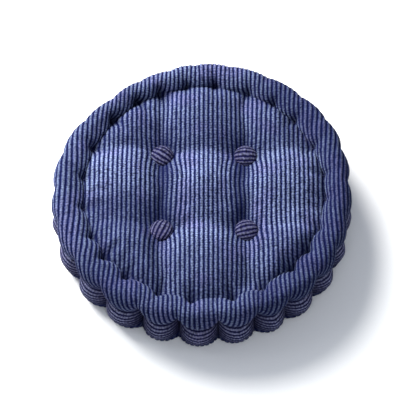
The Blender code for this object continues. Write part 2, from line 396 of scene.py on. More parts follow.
WALE_PITCH = 0.00665
BUTTON_PITCH = 0.0043
FINISHES: dict[Slot, Any] = {
    Slot.CORDUROY: Corduroy(
        "blue_corduroy",
        (0.130, 0.160, 0.250), (0.040, 0.052, 0.144), (0.0018, 0.0036, 0.034), (0.122, 0.122, 0.236),
        WALE_PITCH,
    ),
    Slot.BAND: Corduroy(
        "band_corduroy",
        (0.146, 0.154, 0.248), (0.050, 0.053, 0.124), (0.004, 0.0045, 0.028), (0.136, 0.127, 0.222),
        WALE_PITCH,
    ),
    Slot.BUTTON: Corduroy(
        "button_corduroy",
        (0.068, 0.070, 0.122), (0.022, 0.022, 0.062), (0.003, 0.003, 0.027), (0.062, 0.056, 0.110),
        BUTTON_PITCH,
    ),
    Slot.FIBRE: Fibre("white_fibre", (0.90, 0.89, 0.86), (0.72, 0.71, 0.68)),
    Slot.THREAD: Strand("navy_thread", (0.040, 0.042, 0.120), (0.010, 0.010, 0.035), 0.0011),
    Slot.TWINE: Strand("natural_twine", (0.72, 0.66, 0.52), (0.42, 0.36, 0.26), 0.0024),
    Slot.METAL: Metal("pressed_cap", (0.78, 0.79, 0.80), 0.32, 900.0),
    Slot.WIRE: Metal("drawn_wire", (0.62, 0.62, 0.63), 0.22, 1600.0),
}


# ---------------------------------------------------------------- arrays and meshes


def smooth(value: Array, low: float, high: float) -> Array:
    """0 below low, 1 above high, and between them 3t^2 - 2t^3."""
    share = np.clip((value - low) / (high - low), 0.0, 1.0)
    return share * share * (3.0 - 2.0 * share)


def bell(away: Array, width: Any, power: float = 2) -> Array:
    """1 at no distance, falling as exp(-(away / width)^power)."""
    return np.exp(-((away / width) ** power))


def wale_outline(across: Array, pitch: float, shift: float = 0.0) -> Array:
    """The wales' height, 0 to 1: sqrt(1 - (2p - 1)^2), with p from 0 to 1 across each wale."""
    phase = (across / pitch + shift) % 1.0
    return np.sqrt(np.clip(1.0 - (2.0 * phase - 1.0) ** 2, 0.0, 1.0))


def wrapped(angle: Array) -> Array:
    """The angle brought between minus pi and pi."""
    return (angle + math.pi) % TURN - math.pi


def stacked(x: Array, y: Array, z: Array) -> Array:
    """Three arrays as points."""
    return np.stack(np.broadcast_arrays(x, y, z), axis=-1)


def normals_of(points: Array, closed: bool = False) -> Array:
    """Unit normals of a grid of points, the cross product of its two directions.

    Args:
        points: a grid of points, columns by rows.
        closed: whether the last column meets the first.
    """
    if closed:
        across = np.roll(points, -1, axis=0) - np.roll(points, 1, axis=0)
    else:
        across = np.gradient(points, axis=0)
    along = np.gradient(points, axis=1)
    normal = np.cross(across, along)
    length = np.linalg.norm(normal, axis=-1, keepdims=True)
    return normal / np.maximum(length, 1e-12)


def grid_faces(columns: int, rows: int, closed: bool) -> Array:
    """Corner numbers of a grid's faces, anticlockwise seen from where the normals point."""
    first = np.arange(columns if closed else columns - 1)
    second = (first + 1) % columns
    row = np.arange(rows - 1)
    a = first[:, None] * rows + row
    b = second[:, None] * rows + row
    return np.stack([a, b, b + 1, a + 1], axis=-1).reshape(-1, 4)


def mesh_of(name: str, points: Array, faces: Union[Array, list]) -> bpy.types.Mesh:
    """A smooth-shaded mesh of points and faces."""
    mesh = bpy.data.meshes.new(name)
    corners = faces if isinstance(faces, list) else faces.tolist()
    mesh.from_pydata(points.reshape(-1, 3).tolist(), [], corners)
    mesh.polygons.foreach_set("use_smooth", np.ones(len(mesh.polygons), bool))
    mesh.update()
    return mesh


def shown(name: str, mesh: bpy.types.Mesh, slot: Slot, *nodes: str) -> bpy.types.Object:
    """An object in the scene that rides on the cushion and stands for CAD nodes.

    Args:
        name: the piece's name.
        mesh: its finished mesh.
        slot: the material slot of its finish.
        nodes: the CAD nodes that it replaces.
    """
    piece = bpy.data.objects.new(name, mesh)
    bpy.context.scene.collection.objects.link(piece)
    mesh.materials.append(material_for(slot))
    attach(piece, BODY)
    if nodes:
        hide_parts(*nodes)
    return piece


def sheet_of_cloth(
    name: str, points: Array, faces: Array, cloth: Array, crease: Array, slot: Slot, wall: float
) -> bpy.types.Object:
    """A sheet of corduroy that stands for the CAD node of its name, with its wall on the inside.

    Args:
        name: the piece's name.
        points: its points.
        faces: corner numbers of its faces.
        cloth: each point's place across the wales and along them.
        crease: how much painted shade each point gets, from 0 to 1.
        slot: the material slot of its finish.
        wall: thickness of the cloth.
    """
    mesh = mesh_of(name, points, faces)
    corner = np.empty(len(mesh.loops), np.int32)
    mesh.loops.foreach_get("vertex_index", corner)
    layer = mesh.uv_layers.new(name=CLOTH_MAP)
    layer.uv.foreach_set("vector", cloth.reshape(-1, 2)[corner].astype(np.float32).ravel())
    # Painted shade is kept as a mesh attribute for the corduroy to darken by.
    attribute = mesh.attributes.new(PAINTED_SHADE, "FLOAT", "POINT")
    attribute.data.foreach_set("value", crease.astype(np.float32).ravel())
    piece = shown(name, mesh, slot, name)
    solid = piece.modifiers.new("wall", "SOLIDIFY")
    solid.thickness = wall
    solid.offset = -1.0
    return piece


_MADE: dict[Slot, bpy.types.Material] = {}


def material_for(slot: Slot) -> bpy.types.Material:
    """The one material of a slot, made when it is first asked for."""
    if slot not in _MADE:
        _MADE[slot] = FINISHES[slot].make()
    return _MADE[slot]


# ---------------------------------------------------------------- form of the cover


@dataclass
class RimStitches:
    """Where the thread holds a rim: corners in the groove, and pinches in the band between them.

    Bearings are in degrees from the front, towards +X. Hand stitching is uneven, so each stitch
    has a drift from its even place and a pull of its own.
    """

    corner_start: float = -5.6
    pinch_start: float = 3.0
    tuck: float = 0.14
    corner_drift: Sequence[float] = (
        0.0, 3.9, 3.2, 5.0, 2.0, 0.0, 1.0, -1.0, 0.0, 1.5, 0.0, -1.0,
        0.4, -1.0, -2.8, -5.9, -6.0, -3.0, -1.0, 0.0, 1.0, -2.0, -2.9, -0.6,
    )
    pinch_drift: Sequence[float] = (
        2.8, 3.1, 1.5, 1.0, 0.0, -1.0, 1.0, 0.5, -0.5, -1.0, 0.0, 1.5,
        0.5, -4.0, -5.5, -6.0, -6.0, -4.0, -3.0, -3.7, -1.6, -0.8, 1.0, 1.6,
    )
    corner_pull: Sequence[float] = (
        1.0, 1.0, 0.9, 0.9, 0.7, 0.5, 0.4, 0.45, 0.5, 0.6, 0.7, 0.7,
        1.1, 0.9, 1.2, 1.5, 1.5, 0.9, 0.55, 0.5, 0.7, 1.1, 1.0, 0.9,
    )
    pinch_pull: Sequence[float] = (
        1.1, 1.1, 0.9, 0.9, 0.8, 0.9, 0.9, 1.0, 0.8, 0.9, 0.9, 0.8,
        0.9, 1.0, 0.9, 0.9, 0.9, 0.8, 0.9, 0.9, 1.0, 1.0, 1.3, 1.25,
    )

    def corners(self) -> Array:
        """Bearings of the groove's stitches, in radians."""
        return self._bearings(self.corner_start, self.corner_drift)

    def pinches(self) -> Array:
        """Bearings of the band's stitches, in radians."""
        return self._bearings(self.pinch_start, self.pinch_drift)

    @staticmethod
    def _bearings(start: float, drift: Sequence[float]) -> Array:
        """Even bearings from the start, each with its drift."""
        step = 360.0 / len(drift)
        return np.radians(start + step * np.arange(len(drift)) + np.array(drift))

    @staticmethod
    def valley(bearing: Array, centres: Array, pulls: Sequence[float], width: float) -> Array:
        """The pull on each bearing: at a stitch its pull, falling as exp(-(distance / width)^1.5).

        Args:
            bearing: bearings in radians.
            centres: the stitches' bearings.
            pulls: the stitches' pulls.
            width: how wide a valley is, in radians.
        """
        total = np.zeros_like(bearing)
        for centre, pull in zip(centres, pulls):
            away = np.sqrt(wrapped(bearing - centre) ** 2 + (0.12 * width) ** 2)
            total = np.maximum(total, pull * bell(away, width, 1.5))
        return total

    def corner(self, bearing: Array, width: float) -> Array:
        """How hard the groove is pulled at each bearing."""
        return self.valley(bearing, self.corners(), self.corner_pull, width)

    def pinch(self, bearing: Array, width: float) -> Array:
        """How hard the band is pulled at each bearing."""
        return self.valley(bearing, self.pinches(), self.pinch_pull, width)

    def gathered(self, bearing: Array) -> Array:
        """Where a bearing lies in its lobe: -1 just past a pinch, 0 midway, 1 just before the next.

        It falls back through 0 in the tuck at each pinch, so that the spare cloth is taken up there.
        """
        edges = np.sort(wrapped(self.pinches()))
        edges = np.concatenate([[edges[-1] - TURN], edges, [edges[0] + TURN]])
        place = np.searchsorted(edges, wrapped(bearing), side="right")
        low = edges[np.clip(place - 1, 0, len(edges) - 1)]
        high = edges[np.clip(place, 0, len(edges) - 1)]
        phase = (wrapped(bearing) - low) / (high - low) * 2.0 - 1.0
        return phase * (1.0 - bell(1.0 - np.abs(phase), self.tuck))


@dataclass(frozen=True)
class Rim:
    """The section of a rolled rim: part of an ellipse, from the groove over the crest to the seam.

    Turns are places on the ellipse in radians, 0 at its outward side and a quarter turn at its
    crest. Heights are from the far face of the cushion, for both faces.
    """

    half_width: float
    half_height: float
    middle_radius: float
    middle_z: float
    groove_turn: float
    seam_turn: float
    cloth: float
    corner_pull: float
    pinch_pull: float
    pinch_rise: float
    fullness: float

    def at(self, turn: Array) -> tuple[Array, Array]:
        """Radius and height of the ellipse at a turn."""
        ring = self.middle_radius + self.half_width * np.cos(turn)
        return ring, self.middle_z + self.half_height * np.sin(turn)


FULL_RIM = Rim(
    half_width=0.0175,
    half_height=0.0190,
    middle_radius=0.1825,
    middle_z=0.0705,
    groove_turn=math.radians(186.0),
    seam_turn=math.radians(-62.0),
    cloth=0.0780,
    corner_pull=0.0050,
    pinch_pull=0.0185,
    pinch_rise=0.0035,
    fullness=0.0020,
)
FLATTENED_RIM = Rim(
    half_width=0.0180,
    half_height=0.0190,
    middle_radius=0.1825,
    middle_z=0.0708,
    groove_turn=math.radians(186.0),
    seam_turn=math.radians(14.0),
    cloth=0.0510,
    corner_pull=0.0045,
    pinch_pull=0.0125,
    pinch_rise=0.0015,
    fullness=0.0020,
)


@dataclass(frozen=True)
class Slopes:
    """How an outer puff rises from its tuft line to its top, and falls from there to the rim."""

    rise: float
    fall: float


@dataclass
class CushionForm:
    """The stuffed cover, as surfaces of the cloth's own coordinates.

    The face's height is a dome between each two tuft lines, both ways, so that nine puffs rise
    round the buttons. The roll is an ellipse round the rim, and the band bulges between seams.
    """

    height: float
    tuft: float
    seat_z: float
    button_radius: float
    stitches: RimStitches = field(default_factory=RimStitches)
    rims: dict[Face, Rim] = field(
        default_factory=lambda: {Face.UPPER: FULL_RIM, Face.LOWER: FLATTENED_RIM}
    )
    face_cloth: float = 0.1765
    hem_cloth: float = 0.0080
    puff: float = 0.0190
    crown: float = 0.0935
    crease_round: float = 0.016
    left: Slopes = Slopes(0.046, 0.100)
    right: Slopes = Slopes(0.056, 0.100)
    front: Slopes = Slopes(0.036, 0.112)
    back: Slopes = Slopes(0.076, 0.085)
    lean: float = 0.26
    bow: float = 0.0070
    band_bulge: float = 0.0085
    ease: float = 0.0022
    corner_width: float = math.radians(2.6)
    pinch_width: float = math.radians(3.0)
    lobe_edge: float = math.radians(5.0)
    scallop_edge: float = math.radians(4.5)
    groove_lift: float = 0.0060
    corner_drop: float = 0.0110
    dive: float = 0.0085
    fold_width: float = 0.0075
    fold_depth: float = 0.0045
    draw: float = 0.0030
    draw_reach: float = 0.016
    drift: float = 0.0024
    side_bow: float = 0.0050
    side_shallow: float = 0.35
    seat_share: float = 0.80
    seat_edge: float = 0.0075
    uneven_fill: float = 0.0010
    waves: int = 9
    wave_lengths: tuple[float, float] = (0.045, 0.120)
    sway: Sequence[tuple[float, float, float]] = (
        (0.0046, 280.0, 32.0), (-0.0030, 84.0, 30.0), (-0.0070, 222.0, 15.0), (0.0030, 318.0, 22.0),
        (0.0030, 52.0, 26.0), (0.0032, 118.0, 18.0), (-0.0036, 199.0, 10.0),
    )
    folds: Sequence[tuple[float, float, float, float]] = (
        (79.0, 0.062, 0.0042, 0.0060), (99.0, 0.050, 0.0036, 0.0055), (112.0, 0.045, 0.0030, 0.0060),
        (272.0, 0.070, 0.0030, 0.0055), (300.0, 0.066, 0.0040, 0.0065), (316.0, 0.060, 0.0044, 0.0070),
        (60.0, 0.050, 0.0030, 0.0060), (198.0, 0.050, 0.0036, 0.0055), (166.0, 0.040, 0.0028, 0.0050),
    )

    def cloth_radius(self, face: Face) -> float:
        """Radius that a panel was cut to, with its seam allowance."""
        return self.face_cloth + self.rims[face].cloth + self.hem_cloth

    def uneven(self, bearing: Array) -> Array:
        """How far the rim stands out of a true circle.

        Each bulge or dent is its size times exp(-(angle from its middle / its width)^2).
        """
        total = np.zeros_like(bearing)
        for size, middle, width in self.sway:
            away = wrapped(bearing - math.radians(middle))
            total = total + size * bell(away, math.radians(width))
        return total

    def groove_radius(self, face: Face) -> float:
        """Radius of the groove, where the roll's ellipse starts."""
        return float(self.rims[face].at(np.array(self.rims[face].groove_turn))[0])

    def groove_z(self, face: Face) -> float:
        """Height of the groove."""
        return float(self.rims[face].at(np.array(self.rims[face].groove_turn))[1])

    def dome(self, along: Array, before: Slopes, after: Slopes, lean: float = 0.0) -> Array:
        """1 on the top of each puff and 0 on a crease, where it is rounded off.

        1 on the top of each puff and 0 in a valley between puffs, where it is rounded off.

        Args:
            along: place across the tuft lines.
            before: the rise and fall of the outer puff beyond the first tuft line.
            after: the same beyond the second line.
            lean: how far the middle puff's top lies from its middle, as a share of half its width.
        """
        away = np.abs(along)
        rise = np.where(along < 0.0, before.rise, after.rise)
        fall = np.where(along < 0.0, before.fall, after.fall)
        past = away - self.tuft - rise
        outer = np.where(past < 0.0, past / rise, past / fall)
        inner = along / self.tuft
        inner = inner - lean * (1.0 - inner**2)
        share = np.where(away < self.tuft, inner, outer)
        parabola = np.clip(1.0 - share**2, 0.0, 1.0) ** 1.25
        return np.sqrt(parabola**2 + self.crease_round) - math.sqrt(self.crease_round)

    def ripple(self, x: Array, y: Array, face: Face) -> Array:
        """Slow unevenness of the fill: a sum of sines in seeded directions, about 1 at most."""
        rng = np.random.default_rng(11 if face is Face.UPPER else 23)
        total = np.zeros_like(x)
        for _ in range(self.waves):
            turn = rng.uniform(0.0, math.pi)
            wave = TURN / rng.uniform(*self.wave_lengths)
            shift = rng.uniform(0.0, TURN)
            total += np.sin(wave * (x * math.cos(turn) + y * math.sin(turn)) + shift)
        return total / 4.0

    def face_height(self, x: Array, y: Array, face: Face) -> Array:
        """Height of the puffed face over its plan, before the rim pulls its edge down.

        The valleys wander by the drift, the cross ones bow with the puffs, and they are shallower
        at the sides. Each tuft holds a level seat under its button.
        """
        drift = self.drift * self.ripple(y, x, face)
        shallow = 1.0 - self.side_shallow * smooth(np.abs(x), 0.080, 0.155)
        column = self.dome(x, self.left, self.right)
        bow = (self.bow + self.side_bow * smooth(-x, self.tuft, self.tuft + 0.03)) * column
        valleys = self.dome(x + drift, self.left, self.right)
        valleys = valleys + self.dome(y - bow + drift, self.front, self.back, self.lean) * shallow
        fall = 1.8 - valleys - 0.9 * (1.0 - shallow)
        middle = np.exp(-((x**2 + y**2) / 0.040**2))
        fullness = self.uneven_fill * middle + self.uneven_fill * self.ripple(x, y, face)
        height = self.crown - self.puff * fall + fullness - self.folded(x, y)
        past = np.maximum(self.tuft_distance(x, y) - self.seat_share * self.button_radius, 0.0)
        return self.seat_z + (height - self.seat_z) * (1.0 - bell(past, self.seat_edge, 1.3))

    def folded(self, x: Array, y: Array) -> Array:
        """Depth of the long folds that run in from the rim.

        Each is its depth times exp(-(distance across it / width)^2), fading in over its length.
        """
        total = np.zeros_like(x)
        for bearing, length, depth, width in self.folds:
            turn = math.radians(bearing)
            out = x * math.sin(turn) - y * math.cos(turn)
            across = x * math.cos(turn) + y * math.sin(turn)
            start = self.face_cloth - length
            total = total + depth * bell(across, width) * smooth(out, start, start + 0.75 * length)
        return total

    def tuft_distance(self, x: Array, y: Array) -> Array:
        """Distance to the nearest tuft."""
        return np.hypot(np.abs(x) - self.tuft, np.abs(y) - self.tuft)

    def face_points(self, share: Array, bearing: Array, face: Face) -> Array:
        """Points of the puffed face.

        Args:
            share: cloth distance from the middle, as a share of the face's cloth.
            bearing: bearing from the front in radians.
            face: which face it is.
        """
        corner = self.stitches.corner(bearing, self.corner_width)
        even = self.groove_radius(face) - self.ease
        edge = even + self.rims[face].corner_pull * corner * smooth(share, 0.88, 1.0)
        radius = share * edge
        x, y = radius * np.sin(bearing), -radius * np.cos(bearing)
        inside = edge - radius
        fold = self.stitches.corner(bearing, self.fold_width / np.maximum(radius, 0.02))
        height = self.face_height(x, y, face)
        height = height - self.fold_depth * fold * np.exp(-inside / 0.020) * smooth(inside, 0.0, 0.004)
        floor = self.groove_z(face) + self.groove_lift - self.corner_drop * corner
        height = height + (floor - height) * bell(inside, self.dive, 1.2)
        away = np.maximum(self.tuft_distance(x, y), 1e-4)
        draw = self.draw * bell(away - self.button_radius, self.draw_reach)
        draw = draw * smooth(away, 0.004, self.draw_reach)
        x = x - draw * (np.abs(x) - self.tuft) / away * np.sign(x)
        y = y - draw * (np.abs(y) - self.tuft) / away * np.sign(y)
        return stacked(x, y, height)

    def roll_points(self, share: Array, bearing: Array, face: Face) -> Array:
        """Points of a rolled rim: its ellipse from the groove over the crest to the seam.

        Args:
            share: how far along the roll, 0 at the groove, 1 at the seam, and past it in the hem.
            bearing: bearing from the front in radians.
            face: which rim it is.
        """
        rim = self.rims[face]
        along = np.minimum(share, 1.0)
        turn = rim.groove_turn + (rim.seam_turn - rim.groove_turn) * along
        ring, height = rim.at(turn)
        spare = (self.face_cloth + rim.cloth * along) / ring - 1.0
        half_lobe = math.pi / len(self.stitches.pinch_drift)
        gather = self.stitches.gathered(bearing) * half_lobe * np.clip(spare, 0.0, 0.3)
        placed = bearing + gather * smooth(share, 0.25, 0.9)
        corner = self.stitches.corner(bearing, self.corner_width)
        pinch = self.stitches.pinch(bearing, self.pinch_width)
        full = 1.0 - self.stitches.pinch(bearing, self.lobe_edge)
        tail = smooth(share, 0.55, 1.0)
        out = (rim.corner_pull * corner - self.ease) * bell(share, 0.16)
        swell = -0.0050 * corner * bell(share, 0.32) - 0.0015 * pinch * smooth(share, 0.2, 0.6)
        swell = swell + rim.fullness * full * tail
        ring = ring + out + swell * np.cos(turn) - rim.pinch_pull * pinch * tail
        ring = ring + self.uneven(bearing) * smooth(share, 0.0, 0.6)
        ring = ring - 0.0020 * bell((1.0 - along) * rim.cloth, 0.0035)
        height = height + swell * np.sin(turn) + rim.pinch_rise * pinch * tail
        height = height + (self.groove_lift - self.corner_drop * corner) * bell(share, 0.13)
        ring = ring - np.clip(share - 1.0, 0.0, 1.0) * rim.cloth
        return stacked(ring * np.sin(placed), -ring * np.cos(placed), height)

    def panel_points(self, reach: Array, bearing: Array, face: Face) -> Array:
        """Points of a whole panel: its face out to the groove, and its roll beyond.

        Args:
            reach: cloth distance from the middle of the panel.
            bearing: bearing from the front in radians.
            face: which panel it is. The lower one is worked out face up and turned over.
        """
        inner = self.face_points(np.clip(reach / self.face_cloth, 0.0, 1.0), bearing, face)
        past = np.maximum(reach - self.face_cloth, 0.0) / self.rims[face].cloth
        outer = self.roll_points(past, bearing, face)
        points = np.where((reach <= self.face_cloth)[..., None], inner, outer)
        if face is Face.LOWER:
            points[..., 2] = self.height - points[..., 2]
        return points

    def band_points(self, share: Array, bearing: Array) -> Array:
        """Points of the band: straight from seam to seam, and out by a half sine between them.

        Args:
            share: 0 at the upper seam, 1 at the lower one. Outside them it is the seam allowance.
            bearing: bearing from the front in radians.
        """
        between = np.clip(share, 0.0, 1.0)[..., None]
        past = np.maximum(share - 1.0, 0.0) + np.maximum(-share, 0.0)
        whole = np.ones_like(share)
        upper = self.roll_points(whole, bearing, Face.UPPER)
        lower = self.roll_points(whole, bearing, Face.LOWER)
        lower[..., 2] = self.height - lower[..., 2]
        points = upper + (lower - upper) * between
        full = 1.0 - self.stitches.pinch(bearing, self.scallop_edge)
        bulge = self.band_bulge * np.sin(math.pi * between[..., 0]) ** 0.7 * (0.35 + 0.65 * full)
        outward = stacked(np.sin(bearing), -np.cos(bearing), 0.0)
        return points + outward * (bulge - 0.006 * past / 0.1)[..., None]


# ---------------------------------------------------------------- settling the cloth


CORDUROY_CLOTH = {
    "quality": 6,
    "mass": 0.15,
    "tension_stiffness": 18.0,
    "compression_stiffness": 9.0,
    "shear_stiffness": 4.0,
    "bending_stiffness": 0.6,
    "air_damping": 3.0,
}


@dataclass
class Settling:
    """Lets the cover settle: cloth under pressure, held by its stitches and buttons.

    It works on a coarse closed cover, in columns by bearing and rows from the top's middle to the
    bottom's. What it gives is how far each point moved, read later at any cloth coordinate.
    """

    form: CushionForm
    columns: int = 240
    face_rows: int = 34
    roll_rows: int = 20
    band_rows: int = 7
    frames: int = 14
    pressure: float = 3.0
    cap: float = 0.0038
    shrink: float = -0.008
    middle: float = 0.045

    def __post_init__(self) -> None:
        """Lay out the rows and the points of the cover before it settles."""
        form = self.form
        inner = np.linspace(0.0, form.face_cloth, self.face_rows + 1)[1:]
        self.reach = {}
        for face, rim in form.rims.items():
            outer = form.face_cloth + np.linspace(0.0, rim.cloth, self.roll_rows + 1)[1:]
            self.reach[face] = np.concatenate([inner, outer])
        self.panel_rows = len(self.reach[Face.UPPER])
        self.bearing = np.linspace(0.0, TURN, self.columns, endpoint=False)
        bearing = self.bearing[:, None]
        upper = form.panel_points(self.reach[Face.UPPER][None, :], bearing, Face.UPPER)
        lower = form.panel_points(self.reach[Face.LOWER][None, :], bearing, Face.LOWER)
        share = np.linspace(0.0, 1.0, self.band_rows + 2)[None, 1:-1]
        band = form.band_points(*np.broadcast_arrays(share, bearing))
        self.start = np.concatenate([upper, band, lower[:, ::-1]], axis=1)
        self.moved = np.zeros_like(self.start)

    def poles(self) -> Array:
        """The middle points of the upper and the lower face."""
        centre = np.zeros((1, 1))
        upper = self.form.panel_points(centre, centre, Face.UPPER)[0, 0]
        lower = self.form.panel_points(centre, centre, Face.LOWER)[0, 0]
        return np.stack([upper, lower])

    def closed_mesh(self, name: str, points: Array, poles: Array) -> bpy.types.Mesh:
        """A closed mesh of the whole cover: its grid, and a fan round each pole."""
        columns, rows = points.shape[:2]
        first = np.arange(columns)
        second = (first + 1) % columns
        top = np.full(columns, columns * rows)
        last = rows - 1
        fans = np.concatenate(
            [
                np.stack([top, first * rows, second * rows], axis=-1),
                np.stack([top + 1, second * rows + last, first * rows + last], axis=-1),
            ]
        )
        quads = grid_faces(columns, rows, True)[:, ::-1]
        return mesh_of(name, np.concatenate([points.reshape(-1, 3), poles]), quads.tolist() + fans.tolist())

    def rows_of(self, face: Face) -> slice:
        """The grid's rows of a panel, from its middle outwards."""
        count, total = self.panel_rows, self.start.shape[1]
        if face is Face.UPPER:
            return slice(0, count)
        return slice(total - 1, total - count - 1, -1)

    def holding(self) -> Array:
        """How firmly each point of the grid is held, from 0 to 1."""
        form = self.form
        held = np.zeros(self.start.shape[:2])
        corner = form.stitches.corner(self.bearing, math.radians(2.0))
        pinch = form.stitches.pinch(self.bearing, math.radians(2.0))
        for face, reach in self.reach.items():
            panel = self.rows_of(face)
            points = self.start[:, panel]
            away = form.tuft_distance(points[..., 0], points[..., 1])
            on_face = reach[None, :] < form.face_cloth
            seat = np.where(on_face, 1.0 - smooth(away, 0.013, 0.018), 0.0)
            past = reach[None, :] - form.face_cloth
            pull = bell(past, 0.004) * np.maximum(corner, 0.35)[:, None]
            pull = pull + bell(past - form.rims[face].cloth, 0.006) * np.maximum(pinch, 0.3)[:, None]
            held[:, panel] = np.maximum(seat, np.clip(pull, 0.0, 1.0))
        band = slice(self.panel_rows, self.panel_rows + self.band_rows)
        held[:, band] = np.clip(pinch, 0.0, 1.0)[:, None]
        return np.where(held > 0.25, np.clip(held * 1.3, 0.0, 1.0), 0.0)

    def run(self) -> None:
        """Run the cloth for a few frames, then cap and keep how far each point moved."""
        mesh = self.closed_mesh("settling", self.start, self.poles())
        cover = bpy.data.objects.new("settling", mesh)
        bpy.context.scene.collection.objects.link(cover)
        group = cover.vertex_groups.new(name="held")
        held = self.holding().ravel()
        for level in np.unique(np.round(held[held > 0.0], 1)):
            chosen = np.flatnonzero(np.round(held, 1) == level)
            group.add(chosen.tolist(), float(level), "REPLACE")
        cloth = cover.modifiers.new("cloth", "CLOTH")
        settings = cloth.settings
        for key, value in CORDUROY_CLOTH.items():
            setattr(settings, key, value)
        settings.use_pressure = True
        settings.uniform_pressure_force = self.pressure
        settings.vertex_group_mass = group.name
        settings.shrink_min = self.shrink
        settings.effector_weights.gravity = 0.0
        cloth.collision_settings.use_collision = False
        scene = bpy.context.scene
        for step in range(1, self.frames + 1):
            scene.frame_set(step)
        settled = cover.evaluated_get(bpy.context.evaluated_depsgraph_get()).to_mesh()
        found = np.empty(len(settled.vertices) * 3, np.float32)
        settled.vertices.foreach_get("co", found)
        scene.frame_set(1)
        bpy.data.objects.remove(cover)
        count = self.start.shape[0] * self.start.shape[1]
        moved = found.reshape(-1, 3)[:count].reshape(self.start.shape) - self.start
        length = np.linalg.norm(moved, axis=-1, keepdims=True)
        moved = moved * np.minimum(1.0, self.cap / np.maximum(length, 1e-9))
        LOG.info("settled: mean move %.2f mm, most %.2f mm", 1e3 * length.mean(), 1e3 * length.max())
        self.moved = self.smoothed(moved)

    @staticmethod
    def smoothed(moved: Array) -> Array:
        """One light pass of averaging with the neighbours, round each row and along each column."""
        padded = np.concatenate([moved[:, :1], moved, moved[:, -1:]], axis=1)
        along = (padded[:, :-2] + 2.0 * padded[:, 1:-1] + padded[:, 2:]) / 4.0
        return (np.roll(along, 1, axis=0) + 2.0 * along + np.roll(along, -1, axis=0)) / 4.0

    def read(self, stretch: Array, rows: Array, bearing: Array) -> Array:
        """How far the cover moved, read between the points of a stretch of rows.

        Args:
            stretch: the moves of those rows, columns by rows by three.
            rows: places along the stretch, counted in rows from its first one.
            bearing: bearings in radians.
        """
        column = (bearing % TURN) / TURN * self.columns
        rows = np.clip(rows, 0.0, stretch.shape[1] - 1.0)
        total = np.zeros(np.broadcast(rows, column).shape + (3,))
        for across, share_across in self.spread(column):
            for along, share_along in self.spread(rows):
                taken = stretch[across % self.columns, np.clip(along, 0, stretch.shape[1] - 1)]
                total += taken * (share_across * share_along)[..., None]
        return total

    @staticmethod
    def spread(place: Array) -> list[tuple[Array, Array]]:
        """The four grid lines about each place, with their shares on a Catmull-Rom curve."""
        base = np.floor(place).astype(int)
        t = place - base
        shares = (
            -0.5 * t + t**2 - 0.5 * t**3,
            1.0 - 2.5 * t**2 + 1.5 * t**3,
            0.5 * t + 2.0 * t**2 - 1.5 * t**3,
            -0.5 * t**2 + 0.5 * t**3,
        )
        return [(base + step - 1, share) for step, share in enumerate(shares)]

    def panel(self, reach: Array, bearing: Array, face: Face) -> Array:
        """Settled points of a panel at cloth coordinates."""
        points = self.form.panel_points(reach, bearing, face)
        rows = np.interp(reach, self.reach[face], np.arange(self.panel_rows))
        middle = smooth(reach, 0.0, self.middle)
        return points + self.read(self.moved[:, self.rows_of(face)], rows, bearing) * middle[..., None]

    def band(self, share: Array, bearing: Array) -> Array:
        """Settled points of the band at cloth coordinates."""
        points = self.form.band_points(share, bearing)
        first = self.panel_rows - 1
        stretch = self.moved[:, first : first + self.band_rows + 2]
        return points + self.read(stretch, np.clip(share, 0.0, 1.0) * (self.band_rows + 1), bearing)


# ---------------------------------------------------------------- pieces


